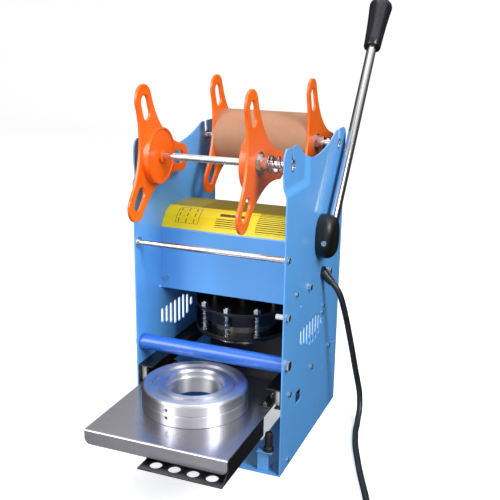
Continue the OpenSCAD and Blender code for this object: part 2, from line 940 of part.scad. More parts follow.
module tray_screws() {
    color(steel)
        for (x = [-89, 89])
            for (y = [-8, 20, 48])
                translate([x, y, tray_z + 3])
                    difference() {
                        cylinder(h = 2.5, d = 7);
                        translate([0, 0, 1.5])
                            cylinder(h = 2, d = 3, $fn = 6);
                    }
}

module set_hole(z) {
    translate([0, -ring_front, z])
        rotate([0, 0, 264])
            rotate([0, 90, 0])
                translate([0, 0, cup_r + 10])
                    cylinder(h = 60, d = 4.5);
}

module lower_ring() {
    color(alu)
        difference() {
            translate([0, -ring_front, 0])
                rotate_extrude()
                    polygon([[cup_low_r, tray_z], [ring_r - 0.8, tray_z], [ring_r, tray_z + 0.8],
                        [ring_r, seam_z - 0.8], [ring_r - 0.8, seam_z], [cup_low_r, seam_z]]);
            set_hole(seam_z - 5);
        }
}

module upper_ring() {
    z0 = seam_z + 0.3;
    z1 = ring_top;
    color(alu)
        difference() {
            translate([0, -ring_front, 0])
                rotate_extrude()
                    polygon([[cup_low_r, z0], [ring_r - 0.8, z0], [ring_r, z0 + 0.8], [ring_r, z1 - 3],
                        [ring_r - 1, z1 - 1], [ring_r - 3, z1], [57, z1], [56.4, z1 - 6], [50.2, z1 - 6],
                        [49.7, z1 - 0.4], [cup_r + 2.4, z1 - 0.6], [cup_r, z1 - 3], [cup_r, z1 - 10],
                        [cup_low_r, z1 - 10.6]]);
            set_hole(seam_z + 5.5);
        }
}

// ---------- reels ----------
// Flange with its hub pointing along +X, plate from -flange_t to 0
module flange_shape() {
    difference() {
        union() {
            rotate([90, 0, 90])
                translate([0, 0, -flange_t])
                    linear_extrude(height = flange_t)
                        difference() {
                            union() {
                                difference() {
                                    circle(r = arm_tip_r - arm_hw);
                                    for (a = arm_angles)
                                        translate([arm_bite_d * cos(a + 60), arm_bite_d * sin(a + 60)])
                                            circle(r = arm_bite_r);
                                }
                                for (a = arm_angles)
                                    translate([(arm_tip_r - arm_hw) * cos(a), (arm_tip_r - arm_hw) * sin(a)])
                                        circle(r = arm_hw);
                            }
                            for (a = arm_angles)
                                rotate([0, 0, a]) {
                                    translate([slot_in_r, 0])
                                        circle(r = flange_slot_r);
                                    translate([slot_out_r, 0])
                                        circle(r = flange_slot_r);
                                    translate([slot_in_r, -flange_slot_r])
                                        square([slot_out_r - slot_in_r, flange_slot_r * 2]);
                                }
                        }
            bar_x(-1, hub_len - dish_depth, 0, 0, hub_r * 2);
            difference() {
                bar_x(0, hub_len, 0, 0, hub_r * 2);
                bar_x(-1, hub_len + 1, 0, 0, hub_r * 2 - 5);
            }
            bar_x(0, hub_len + 3, 0, 0, collar_r * 2);
        }
        bar_x(-flange_t - 1, hub_len + 5, 0, 0, reel_shaft_d);
    }
}

module front_flange_left() {
    color(orange)
        translate(front_reel + [front_left_x, 0, 0])
            flange_shape();
}

module front_flange_right() {
    color(orange)
        translate(front_reel + [front_right_x, 0, 0])
            mirror([1, 0, 0])
                flange_shape();
}

module rear_flange_left() {
    color(orange)
        translate(rear_reel + [rear_left_x, 0, 0])
            flange_shape();
}

module rear_flange_right() {
    color(orange)
        translate(rear_reel + [rear_right_x, 0, 0])
            mirror([1, 0, 0])
                flange_shape();
}

// Shaft about the X axis with slim necks beside the journals, so it lifts out through the slots;
// face is the outer face of the panels at its journals
module reel_shaft(face, collar_x) {
    e = face - panel_t - journal_in;
    color(steel)
        difference() {
            union() {
                bar_x(-e + neck_len, e - neck_len, 0, 0, reel_shaft_d);
                for (x = [-e - 0.1, e - neck_len - 0.1])
                    bar_x(x, x + neck_len + 0.2, 0, 0, slot_w - 1);
                for (x = [-face + 0.3, e])
                    bar_x(x, x + face - e - 0.3, 0, 0, journal_d);
                bar_x(collar_x, collar_x + 7, 0, 0, 19);
            }
            for (x = [-face, face - 2.6])
                bar_x(x, x + 2.6, 0, 0, journal_d - 4);
        }
}

module front_reel_shaft() {
    translate(front_reel)
        reel_shaft(front_side, front_right_x + flange_t + nut_len);
}

module rear_reel_shaft() {
    translate(rear_reel)
        reel_shaft(half_w, rear_right_x + flange_t + nut_len);
}

// Flanged hexagon nut: its round flange of diameter d lies at x against the reel, side is +1 or -1
module lock_nut(x, side, len, d) {
    translate([x, 0, 0])
        scale([side, 1, 1])
            difference() {
                union() {
                    bar_x(0, nut_flange_t, 0, 0, d);
                    rotate([0, 90, 0])
                        cylinder(h = len, d = d * 0.78, $fn = 6);
                }
                bar_x(-1, len + 1, 0, 0, reel_shaft_d);
            }
}

module front_lock_nuts() {
    color(steel)
        translate(front_reel) {
            lock_nut(front_left_x - flange_t, -1, thin_nut_len, front_nut_d);
            lock_nut(front_right_x + flange_t, 1, nut_len, front_nut_d);
        }
}

module rear_lock_nuts() {
    color(steel)
        translate(rear_reel) {
            lock_nut(rear_left_x - flange_t, -1, nut_len, rear_nut_d);
            lock_nut(rear_right_x + flange_t, 1, nut_len, rear_nut_d);
        }
}

// Spring between the shaft collar and the inner face of the right panel
module front_reel_spring() {
    x0 = front_right_x + flange_t + nut_len + 7;
    x1 = front_side - panel_t - 0.4;
    color(steel)
        translate(front_reel)
            difference() {
                bar_x(x0, x1, 0, 0, 24);
                bar_x(x0 - 1, x1 + 1, 0, 0, 18);
            }
}

module film_core() {
    color([0.66, 0.44, 0.28])
        translate(rear_reel)
            difference() {
                bar_x(rear_left_x, rear_right_x, 0, 0, core_od);
                bar_x(rear_left_x - 1, rear_right_x + 1, 0, 0, core_id);
            }
}

// ---------- assembly ----------
base_plate();
side_panel_left();
side_panel_right();
head_cover();
cover_label();
small_screws();
panel_bolts();
front_guide_rod();
guide_bridge();
rail_left();
rail_right();
main_bushes();
stop_bracket();
stop_bumper();
cord_gland();
power_cord();
cord_coil();
power_plug();
thermostat_body();
switch_body();
roller_axle();
back_plate();
film_pin();
yoke();
guide_posts();
head_plate();
heat_shield();
heater_block();
heating_element();
cutter_carrier();
cutter_ring();
spring_bolts();
head_springs();
return_springs();
main_shaft();
cam_disc();
lever_hub();
hub_screw();
lever_rod();
lever_grip();
tray_plate();
tray_skirt();
slide_plates();
glide_shoes();
tray_screws();
lower_ring();
upper_ring();
front_reel_shaft();
front_flange_left();
front_flange_right();
front_lock_nuts();
front_reel_spring();
rear_reel_shaft();
rear_flange_left();
rear_flange_right();
rear_lock_nuts();
film_core();
film_roller();
switch_rocker();
thermostat_knob();
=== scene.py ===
import json
import math

import bmesh
import bpy
from mathutils import Matrix, Vector


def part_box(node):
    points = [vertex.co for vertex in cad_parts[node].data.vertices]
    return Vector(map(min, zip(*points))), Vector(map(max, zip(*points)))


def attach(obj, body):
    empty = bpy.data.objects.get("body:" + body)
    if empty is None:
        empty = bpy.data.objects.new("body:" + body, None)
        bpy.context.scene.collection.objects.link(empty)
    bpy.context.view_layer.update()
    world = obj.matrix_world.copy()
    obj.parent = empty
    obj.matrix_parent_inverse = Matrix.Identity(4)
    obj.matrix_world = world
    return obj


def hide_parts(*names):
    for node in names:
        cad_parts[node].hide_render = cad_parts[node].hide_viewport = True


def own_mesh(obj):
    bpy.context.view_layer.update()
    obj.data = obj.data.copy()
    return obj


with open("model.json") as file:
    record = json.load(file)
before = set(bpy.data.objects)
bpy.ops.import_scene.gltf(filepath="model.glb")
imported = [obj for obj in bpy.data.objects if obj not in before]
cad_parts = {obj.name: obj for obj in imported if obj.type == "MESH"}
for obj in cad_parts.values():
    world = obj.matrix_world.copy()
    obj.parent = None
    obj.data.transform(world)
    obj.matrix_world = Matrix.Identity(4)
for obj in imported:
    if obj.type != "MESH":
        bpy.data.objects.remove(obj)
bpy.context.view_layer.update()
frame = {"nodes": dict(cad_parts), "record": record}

MM = 0.001
NODES = frame["nodes"]


# ---------- places read from the frame ----------
def span(node):
    """Low and high corners of a CAD node's box, in metres."""
    low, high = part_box(node)
    return Vector(low), Vector(high)


def middle(node):
    low, high = span(node)
    return (low + high) / 2


# ---------- mesh helpers ----------
HELIX_STEPS = 28
SEAT_TURNS = 1.0


def mesh_object(name, bm, smooth_angle=35):
    """Turns a bmesh into an object that is smooth wherever faces meet below the angle in degrees."""
    mesh = bpy.data.meshes.new(name)
    bmesh.ops.recalc_face_normals(bm, faces=bm.faces)
    bm.to_mesh(mesh)
    bm.free()
    obj = bpy.data.objects.new(name, mesh)
    bpy.context.scene.collection.objects.link(obj)
    for poly in mesh.polygons:
        poly.use_smooth = True
    mesh.set_sharp_from_angle(angle=math.radians(smooth_angle))
    return obj


def place(obj, body, slot, replaces=()):
    """Puts a piece on its body with its slot's material, in place of the CAD nodes it stands for."""
    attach(obj, body)
    if replaces:
        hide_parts(*replaces)
    obj.data.materials.append(MATERIALS[slot])
    return obj


def frame_along(direction):
    """Rotation that turns +Z into the direction."""
    return Vector(direction).to_track_quat("Z", "Y").to_matrix().to_4x4()


def add_ring(bm, points):
    return [bm.verts.new(p) for p in points]


def bridge(bm, a, b):
    """Faces between two closed rings of equal length."""
    count = len(a)
    for k in range(count):
        bm.faces.new((a[k], a[(k + 1) % count], b[(k + 1) % count], b[k]))


def rounded_outline(half_wide, half_high, power, sides):
    """(across, up) points of an oval: power 1 gives an ellipse, and less gives squarer corners."""
    points = []
    for k in range(sides):
        turn = 2 * math.pi * k / sides
        across, up = math.cos(turn), math.sin(turn)
        points.append((half_wide * math.copysign(abs(across) ** power, across),
                       half_high * math.copysign(abs(up) ** power, up)))
    return points


def close_ends(bm, rings):
    bm.faces.new(rings[0])
    bm.faces.new(list(reversed(rings[-1])))


def add_tube(bm, path, radius, sides):
    """Round tube along a list of points, closed at both ends."""
    path = [Vector(p) for p in path]
    last = len(path) - 1
    steps = [(path[min(i + 1, last)] - path[max(i - 1, 0)]).normalized() for i in range(last + 1)]
    side = steps[0].orthogonal().normalized()
    rings = []
    for point, step in zip(path, steps):
        side = (side - step * side.dot(step)).normalized()
        up = step.cross(side)
        turns = [2 * math.pi * k / sides for k in range(sides)]
        ring = [point + radius * (math.cos(t) * side + math.sin(t) * up) for t in turns]
        rings.append(add_ring(bm, ring))
    for a, b in zip(rings, rings[1:]):
        bridge(bm, a, b)
    close_ends(bm, rings)


def helix(base, axis, length, radius, turns, wire):
    """Points of a compression spring whose end turns lie flat against its seats."""
    turned = frame_along(axis)
    turned.translation = Vector(base)
    points = []
    count = int(turns * HELIX_STEPS)
    free = turns - 2 * SEAT_TURNS
    for i in range(count + 1):
        turn = i / HELIX_STEPS
        rise = min(max(turn - SEAT_TURNS, 0), free) / free
        seated = min(turn, SEAT_TURNS) + max(turn - SEAT_TURNS - free, 0)
        height = wire * (0.5 + seated) + rise * (length - wire * (1 + 2 * SEAT_TURNS))
        angle = 2 * math.pi * turn
        points.append(turned @ Vector((radius * math.cos(angle), radius * math.sin(angle), height)))
    return points


def smooth_path(points, per_step):
    """Catmull-Rom curve through the points."""
    points = [Vector(p) for p in points]
    out = []
    for i in range(len(points) - 1):
        p0, p1 = points[max(i - 1, 0)], points[i]
        p2, p3 = points[i + 1], points[min(i + 2, len(points) - 1)]
        for k in range(per_step):
            t = k / per_step
            out.append(0.5 * (2 * p1 + (p2 - p0) * t + (2 * p0 - 5 * p1 + 4 * p2 - p3) * t**2
                              + (3 * p1 - p0 - 3 * p2 + p3) * t**3))
    return out + [points[-1]]


# ---------- shader helpers ----------
BEVEL_SAMPLES = 4
EDGE_BEND = (0.02, 0.25)


class Surface:
    """A Principled material, with short calls that add procedural nodes to it."""

    def __init__(self, name, color, roughness, metallic=0.0, **values):
        self.material = bpy.data.materials.new(name)
        self.material.use_nodes = True
        self.tree = self.material.node_tree
        self.shader = self.tree.nodes["Principled BSDF"]
        self.set("Base Color", (*color, 1))
        self.set("Roughness", roughness)
        self.set("Metallic", metallic)
        for key, value in values.items():
            self.set(key.replace("_", " ").title(), value)

    def set(self, socket, value):
        self.shader.inputs[socket].default_value = value

    def node(self, kind, **settings):
        made = self.tree.nodes.new("ShaderNode" + kind)
        for key, value in settings.items():
            setattr(made, key, value)
        return made

    def join(self, output, target):
        self.tree.links.new(output, target)

    def feed(self, target, value):
        """Gives a socket either a link or a number."""
        if isinstance(value, bpy.types.NodeSocket):
            self.join(value, target)
        else:
            target.default_value = value

    def place(self, scale=(1, 1, 1), shift=(0, 0, 0)):
        """Object coordinates, in metres, shifted and then scaled."""
        mapping = self.node("Mapping")
        mapping.inputs["Location"].default_value = [-s * k for s, k in zip(shift, scale)]
        mapping.inputs["Scale"].default_value = scale
        self.join(self.node("TexCoord").outputs["Object"], mapping.inputs["Vector"])
        return mapping.outputs["Vector"]

    def noise(self, scale, detail, rough, where=None):
        """Noise over the object coordinates, or over the coordinates given."""
        made = self.node("TexNoise")
        made.inputs["Scale"].default_value = scale
        made.inputs["Detail"].default_value = detail
        made.inputs["Roughness"].default_value = rough
        self.join(where if where is not None else self.place(), made.inputs["Vector"])
        return made.outputs["Fac"]

    def math(self, operation, a, b=0.0):
        made = self.node("Math", operation=operation)
        self.feed(made.inputs[0], a)
        self.feed(made.inputs[1], b)
        return made.outputs[0]

    def ramp(self, value, low, high, out_low=0.0, out_high=1.0):
        """Maps low..high to out_low..out_high, and holds both ends."""
        made = self.node("MapRange")
        self.feed(made.inputs["Value"], value)
        sockets = ("From Min", "From Max", "To Min", "To Max")
        for key, number in zip(sockets, (low, high, out_low, out_high)):
            made.inputs[key].default_value = number
        return made.outputs["Result"]

    def axis_value(self, axis, shift=(0, 0, 0)):
        """One of the object coordinates, in metres from the shift."""
        split = self.node("SeparateXYZ")
        self.join(self.place(shift=shift), split.inputs[0])
        return split.outputs[axis]

    def within(self, value, low, high):
        """1 where the value lies between low and high, else 0."""
        above = self.math("GREATER_THAN", value, low)
        return self.math("MULTIPLY", above, self.math("LESS_THAN", value, high))

    def patch(self, across, up, across_limits, up_limits):
        """1 inside a rectangle, else 0."""
        return self.math("MULTIPLY", self.within(across, *across_limits), self.within(up, *up_limits))

    def stripes(self, value, period, share):
        """1 on the first share of each period of the value, else 0."""
        return self.math("LESS_THAN", self.math("FRACT", self.math("DIVIDE", value, period)), share)

    def brushed_along(self, direction):
        """Sends the stretched highlight along a direction of the frame."""
        made = self.node("CombineXYZ")
        for socket, number in zip(made.inputs, direction):
            socket.default_value = number
        self.join(made.outputs[0], self.shader.inputs["Tangent"])

    def mix(self, factor, a, b):
        """Colour a where the factor is 0 and colour b where it is 1."""
        made = self.node("Mix", data_type="RGBA")
        self.feed(made.inputs["Factor"], factor)
        self.feed(made.inputs["A"], (*a, 1) if isinstance(a, tuple) else a)
        self.feed(made.inputs["B"], (*b, 1) if isinstance(b, tuple) else b)
        return made.outputs["Result"]

    def bump(self, height, distance, strength, normal=None):
        """Relief of the given depth in metres, on top of another normal."""
        made = self.node("Bump")
        made.inputs["Strength"].default_value = strength
        made.inputs["Distance"].default_value = distance
        self.join(height, made.inputs["Height"])
        if normal is not None:
            self.join(normal, made.inputs["Normal"])
        return made.outputs["Normal"]

    def rounded(self, radius):
        """Normal that shows sharp edges as if they had this radius in metres."""
        made = self.node("Bevel", samples=BEVEL_SAMPLES)
        made.inputs["Radius"].default_value = radius
        return made.outputs["Normal"]

    def edges(self, radius):
        """0 on flat faces, 1 along sharp edges."""
        dot = self.node("VectorMath", operation="DOT_PRODUCT")
        self.join(self.rounded(radius), dot.inputs[0])
        self.join(self.node("NewGeometry").outputs["Normal"], dot.inputs[1])
        return self.ramp(self.math("SUBTRACT", 1.0, dot.outputs["Value"]), *EDGE_BEND)

    def color(self, value):
        self.join(value, self.shader.inputs["Base Color"])

    def roughness(self, value):
        self.join(value, self.shader.inputs["Roughness"])

    def normal(self, value):
        self.join(value, self.shader.inputs["Normal"])


# ---------- materials ----------
def powder_coat(name, color, pale, rough, edge_wear_and_highlight, coat):
    """Baked powder coat: fine orange peel, faint tone drift, and paler edges that stand for rubbed wear and
    are also a painted highlight along the edges.
    """
    s = Surface(name, color, rough, coat_weight=coat, coat_roughness=0.08)
    darker, lighter = (tuple(c * k for c in color) for k in (0.95, 1.05))
    tone = s.mix(s.ramp(s.noise(7, 3, 0.6), 0.3, 0.7), darker, lighter)
    # Paler edges: partly rubbed wear, partly a painted highlight standing for light catching the edges.
    worn = s.math("MULTIPLY", s.edges(0.0012), s.ramp(s.noise(90, 4, 0.7), 0.35, 0.66))
    s.color(s.mix(s.math("MULTIPLY", worn, edge_wear_and_highlight), tone, pale))
    s.roughness(s.ramp(s.noise(60, 3, 0.5), 0.3, 0.7, rough - 0.03, rough + 0.04))
    s.normal(s.bump(s.noise(260, 2, 0.5), 0.00003, 0.3, s.rounded(0.0009)))
    return s.material


def blue_paint():
    return powder_coat("blue_paint", (0.125, 0.425, 0.92), pale=(0.21, 0.53, 1.0), rough=0.34, edge_wear_and_highlight=0.4,
                       coat=0.25)


def black_paint():
    # Its pale grey edges are partly a painted highlight: a thin light rim line along black edges.
    return powder_coat("black_paint", (0.004, 0.004, 0.005), pale=(0.30, 0.30, 0.34), rough=0.38,
                       edge_wear_and_highlight=0.6, coat=0.0)


def polished_steel():
    """Ground bar: fine rings round the bar along X, and light handling marks."""
    rough = 0.14
    color = (0.68, 0.68, 0.70)
    rings_per_metre = 2600
    s = Surface("polished_steel", color, rough, 1.0)
    rings = s.noise(1, 2, 0.5, s.place((rings_per_metre, 40, 40)))
    marks = s.noise(55, 5, 0.65)
    ground = s.ramp(rings, 0.3, 0.7, -0.02, 0.02)
    s.roughness(s.math("ADD", s.ramp(marks, 0.3, 0.75, rough - 0.04, rough + 0.06), ground))
    s.color(s.mix(s.ramp(marks, 0.5, 0.8, 0, 0.35), color, tuple(c * 0.75 for c in color)))
    s.normal(s.bump(rings, 0.000006, 0.3, s.rounded(0.0005)))
    return s.material


def chrome():
    """Bright plate with fine scratches and smudges."""
    s = Surface("chrome", (0.70, 0.70, 0.72), 0.06, 1.0)
    fine = s.noise(420, 5, 0.7)
    smudge = s.noise(30, 4, 0.6)
    smudged = s.ramp(smudge, 0.35, 0.75, 0.04, 0.11)
    s.roughness(s.math("ADD", smudged, s.ramp(fine, 0.5, 0.8, 0.0, 0.04)))
    s.normal(s.bump(fine, 0.000001, 0.2, s.rounded(0.0006)))
    return s.material


def mirror_steel():
    """Stainless sheet brushed left to right, so that reflections smear front to back."""
    s = Surface("mirror_steel", (0.44, 0.43, 0.48), 0.24, 1.0, anisotropic=0.8)
    s.brushed_along((0, 1, 0))
    hair = s.noise(1, 3, 0.6, s.place((14, 1900, 1900)))
    scuff = s.noise(1, 4, 0.75, s.place((60, 320, 60)))
    cloud = s.noise(14, 4, 0.6)
    s.color(s.mix(s.ramp(cloud, 0.3, 0.75), (0.46, 0.45, 0.50), (0.42, 0.41, 0.46)))
    wear = s.math("ADD", s.ramp(hair, 0.3, 0.7, -0.03, 0.04), s.ramp(scuff, 0.62, 0.8, 0, 0.05))
    s.roughness(s.math("ADD", s.ramp(cloud, 0.3, 0.75, 0.21, 0.27), wear))
    s.normal(s.bump(hair, 0.000010, 0.3, s.rounded(0.0010)))
    return s.material


def turned_aluminium(centre):
    """Lathe-turned rings about the vertical axis through the centre, with a satin finish."""
    s = Surface("turned_aluminium", (0.80, 0.79, 0.84), 0.39, 1.0, anisotropic=0.80)
    s.set("Anisotropic Rotation", 0.25)
    cuts_per_metre = 2600
    flat = s.place((1, 1, 0), (centre.x, centre.y, 0))
    length = s.node("VectorMath", operation="LENGTH")
    s.join(flat, length.inputs[0])
    cut = s.node("CombineXYZ")
    s.join(s.math("MULTIPLY", length.outputs["Value"], cuts_per_metre), cut.inputs[0])
    s.join(s.math("MULTIPLY", s.axis_value("Z"), cuts_per_metre), cut.inputs[1])
    grooves = s.noise(1, 3, 0.6, cut.outputs[0])
    tangent = s.node("Tangent", direction_type="RADIAL", axis="Z")
    s.join(tangent.outputs[0], s.shader.inputs["Tangent"])
    handling = s.noise(45, 5, 0.65)
    s.color(s.mix(s.ramp(handling, 0.35, 0.75), (0.83, 0.83, 0.88), (0.72, 0.72, 0.78)))
    turned = s.ramp(grooves, 0.3, 0.7, 0.34, 0.44)
    s.roughness(s.math("ADD", turned, s.ramp(handling, 0.5, 0.8, 0, 0.08)))
    s.normal(s.bump(grooves, 0.00003, 0.5, s.rounded(0.0004)))
    return s.material


def cast_aluminium():
    """Heater casting, browned in patches by heat."""
    s = Surface("cast_aluminium", (0.50, 0.48, 0.45), 0.42, 1.0)
    heat = s.noise(18, 4, 0.6)
    s.color(s.mix(s.ramp(heat, 0.35, 0.7), (0.54, 0.52, 0.50), (0.36, 0.30, 0.22)))
    s.roughness(s.ramp(s.noise(140, 4, 0.6), 0.3, 0.7, 0.34, 0.52))
    s.normal(s.bump(s.noise(700, 3, 0.6), 0.00006, 0.5, s.rounded(0.0006)))
    return s.material


def plain_steel(name, color, rough):
    """Machined or plated steel with small tonal patches."""
    s = Surface(name, color, rough, 1.0)
    patch = s.noise(85, 5, 0.65)
    s.color(s.mix(s.ramp(patch, 0.3, 0.75), color, tuple(c * 0.66 for c in color)))
    s.roughness(s.ramp(patch, 0.3, 0.75, rough - 0.05, rough + 0.12))
    s.normal(s.bump(s.noise(600, 3, 0.6), 0.00002, 0.4, s.rounded(0.0004)))
    return s.material


def bush_brass():
    return plain_steel("bush_brass", (0.60, 0.40, 0.16), 0.38)


def orange_plastic():
    """Glossy moulded plastic with a slight glow, flow marks and soft edges."""
    s = Surface("orange_plastic", (1.0, 0.162, 0.005), 0.32, 0.0, subsurface_weight=0.10, coat_weight=0.25,
                coat_roughness=0.15)
    s.set("Subsurface Scale", 0.003)
    s.set("Subsurface Radius", (1.0, 0.35, 0.1))
    flow = s.noise(1, 3, 0.6, s.place((12, 26, 26)))
    s.color(s.mix(s.ramp(flow, 0.3, 0.75), (1.0, 0.165, 0.006), (0.98, 0.138, 0.003)))
    s.roughness(s.ramp(s.noise(50, 3, 0.5), 0.3, 0.75, 0.28, 0.36))
    s.normal(s.bump(s.noise(200, 2, 0.5), 0.00002, 0.2, s.rounded(0.0016)))
    return s.material


def moulded(name, color, rough, grain=1100, depth=0.00005):
    """Moulded plastic or rubber; grain is the texture's scale, and depth its height in metres."""
    s = Surface(name, color, rough)
    tone = s.noise(30, 4, 0.6)
    darker, paler = (tuple(min(1, c * k) for c in color) for k in (0.85, 1.2))
    s.color(s.mix(s.ramp(tone, 0.3, 0.75), darker, paler))
    s.roughness(s.ramp(s.noise(200, 4, 0.6), 0.3, 0.75, rough - 0.06, rough + 0.09))
    s.normal(s.bump(s.noise(grain, 3, 0.55), depth, 0.5, s.rounded(0.0006)))
    return s.material


def roller_blue():
    """Smooth coated roller with faint handling marks."""
    s = Surface("roller_blue", (0.021, 0.137, 0.60), 0.30, 0.0, coat_weight=0.35, coat_roughness=0.15)
    tone = s.noise(1, 3, 0.6, s.place((16, 60, 60)))
    s.color(s.mix(s.ramp(tone, 0.3, 0.75), (0.023, 0.145, 0.63), (0.019, 0.128, 0.57)))
    s.roughness(s.ramp(s.noise(70, 4, 0.6), 0.3, 0.75, 0.26, 0.34))
    s.normal(s.bump(s.noise(500, 2, 0.5), 0.00002, 0.2, s.rounded(0.0008)))
    return s.material


def core_cardboard(axis_y, axis_z):
    """Brown paper tube wound as a spiral, with fibres and a butt seam."""
    s = Surface("core_cardboard", (0.38, 0.185, 0.105), 0.60)
    shift = (0, axis_y, axis_z)
    angle = s.math("ARCTAN2", s.axis_value("Z", shift), s.axis_value("Y", shift))
    pitch = 0.110
    seam_half_width = 0.006
    wound = s.math("MULTIPLY", angle, 1 / (2 * math.pi))
    turn = s.math("FRACT", s.math("ADD", s.math("MULTIPLY", s.axis_value("X"), 1 / pitch), wound))
    seam = s.ramp(s.math("ABSOLUTE", s.math("SUBTRACT", turn, 0.5)), 0.0, seam_half_width, 1, 0)
    fibres = s.noise(1, 5, 0.7, s.place((300, 1400, 1400)))
    blotch = s.noise(26, 5, 0.6)
    tone = s.mix(s.ramp(blotch, 0.3, 0.75), (0.415, 0.205, 0.117), (0.345, 0.165, 0.091))
    tone = s.mix(s.ramp(fibres, 0.45, 0.75, 0, 0.3), tone, (0.58, 0.34, 0.20))
    s.color(s.mix(s.math("MULTIPLY", seam, 0.4), tone, (0.22, 0.10, 0.05)))
    s.roughness(s.ramp(fibres, 0.3, 0.7, 0.50, 0.66))
    s.normal(s.bump(s.math("SUBTRACT", fibres, seam), 0.00008, 0.4, s.rounded(0.0006)))
    return s.material


def rubber_cord():
    """Black cord sheath with a faint sheen."""
    s = Surface("cord_black", (0.014, 0.014, 0.015), 0.38)
    tone = s.noise(60, 3, 0.6)
    s.color(s.mix(s.ramp(tone, 0.3, 0.7), (0.011, 0.011, 0.012), (0.020, 0.020, 0.021)))
    s.roughness(s.ramp(s.noise(240, 4, 0.6), 0.3, 0.75, 0.30, 0.48))
    s.normal(s.bump(s.noise(900, 2, 0.5), 0.00004, 0.4))
    return s.material


# Places on the label in metres: x across, and y + z from the sheet's lower edge up the slope.
LABEL_CHAMFER = 0.058
LABEL_YELLOW = (1.0, 0.78, 0.002)
LABEL_OLIVE = (0.42, 0.33, 0.020)
LABEL_INK = (0.03, 0.027, 0.012)
LINE_PITCH = 0.0046
LINE_SHARE = 0.42
RIGHT_TEXT = ((0.036, 0.104), (0.006, 0.108))
CENTRE_TEXT = ((-0.026, 0.022), (0.010, 0.030))
HEADING = ((-0.022, 0.018), (0.036, 0.043))
TOP_TEXT_X = (-0.060, 0.100)
FIGURE_CENTRE = (-0.070, 0.032)
FIGURE_HALF = (0.018, 0.020)
FIGURE_LINE = 0.0008


def label_figure(s, x, up_slope):
    """Framed figure: a thin outline, and short dashes inside it."""
    across = s.math("ABSOLUTE", s.math("SUBTRACT", x, FIGURE_CENTRE[0]))
    along = s.math("ABSOLUTE", s.math("SUBTRACT", up_slope, FIGURE_CENTRE[1]))
    outer, inner = (s.math("MULTIPLY", s.math("LESS_THAN", across, FIGURE_HALF[0] - inset),
                           s.math("LESS_THAN", along, FIGURE_HALF[1] - inset)) for inset in (0, FIGURE_LINE))
    dashes = s.math("MULTIPLY", s.stripes(x, 0.012, 0.12), s.stripes(up_slope, 0.014, 0.6))
    return s.math("SUBTRACT", outer, inner), s.math("MULTIPLY", inner, dashes)


def label_print(s, x, up_slope, on_top):
    """1 where the sheet carries ink: blocks of rules, a heading bar and the framed figure."""
    rules = s.stripes(up_slope, LINE_PITCH, LINE_SHARE)
    blocks = s.math("ADD", s.patch(x, up_slope, *RIGHT_TEXT), s.patch(x, up_slope, *CENTRE_TEXT))
    top_text = s.math("MULTIPLY", s.math("MULTIPLY", on_top, s.within(x, *TOP_TEXT_X)), rules)
    ink = s.math("MULTIPLY", blocks, rules)
    for extra in (s.patch(x, up_slope, *HEADING), *label_figure(s, x, up_slope), top_text):
        ink = s.math("MAXIMUM", ink, extra)
    return ink


def printed_label():
    """Yellow label on the hood's chamfer, coloured a darker olive on the hood's top, with plain blocks and
    rules.
    """
    s = Surface("printed_label", (0.95, 0.66, 0.002), 0.45, coat_weight=0.0)
    x = s.axis_value("X")
    low = span("cover_label")[0]
    up_slope = s.math("ADD", s.axis_value("Y", (0, low.y, 0)), s.axis_value("Z", (0, 0, low.z)))
    on_top = s.math("GREATER_THAN", up_slope, LABEL_CHAMFER)
    # The top face gets a darker olive colour than the chamfer.
    ground = s.mix(on_top, LABEL_YELLOW, LABEL_OLIVE)
    worn = s.ramp(s.noise(400, 3, 0.6), 0.3, 0.5, 0.75, 0.98)
    s.color(s.mix(s.math("MULTIPLY", label_print(s, x, up_slope, on_top), worn), ground, LABEL_INK))
    s.roughness(s.ramp(s.noise(90, 4, 0.6), 0.3, 0.75, 0.40, 0.52))
    s.normal(s.bump(s.noise(300, 2, 0.5), 0.00004, 0.2))
    return s.material


MATERIALS = {
    "blue_paint": blue_paint(),
    "black_paint": black_paint(),
    "screw_steel": plain_steel("screw_steel", (0.66, 0.65, 0.63), 0.20),
    "polished_steel": polished_steel(),
    "chrome": chrome(),
    "mirror_steel": mirror_steel(),
    "dark_steel": plain_steel("dark_steel", (0.20, 0.20, 0.21), 0.36),
    "blade_steel": plain_steel("blade_steel", (0.55, 0.55, 0.56), 0.22),
    "spring_steel": plain_steel("spring_steel", (0.50, 0.50, 0.51), 0.16),
    "turned_aluminium": turned_aluminium(middle("upper_ring")),
    "cast_aluminium": cast_aluminium(),
    "bush_brass": bush_brass(),
    "orange_plastic": orange_plastic(),
    "black_plastic": moulded("black_plastic", (0.011, 0.011, 0.012), 0.38),
    "cream_plastic": moulded("cream_plastic", (0.62, 0.60, 0.52), 0.45),
    "white_nylon": moulded("white_nylon", (0.78, 0.78, 0.74), 0.40, grain=500),
    "roller_blue": roller_blue(),
    "grip_black": moulded("grip_black", (0.012, 0.011, 0.016), 0.20, grain=1500, depth=0.00002),
    "black_rubber": moulded("black_rubber", (0.015, 0.015, 0.015), 0.62, grain=700, depth=0.00008),
    "core_cardboard": core_cardboard(middle("film_core").y, middle("film_core").z),
    "cord_black": rubber_cord(),
    "printed_label": printed_label(),
}


def dress_cad_nodes():
    """Every CAD node takes the finished material of its slot."""
    slots = {row["node"]: row["material_slot"] for row in frame["record"]["subparts"]}
    for name, obj in NODES.items():
        for index in range(len(obj.material_slots)):
            obj.material_slots[index].material = MATERIALS[slots[name]]


dress_cad_nodes()


# ---------- camera ----------
CAMERA_PLACE = Vector((421.1, -919.3, 600.9)) * MM
# Yaw to the left, pitch downwards and roll.
CAMERA_DEGREES = (21.41, 15.89, 0.90)
SENSOR_MM = 36
LENS_MM = 57.3


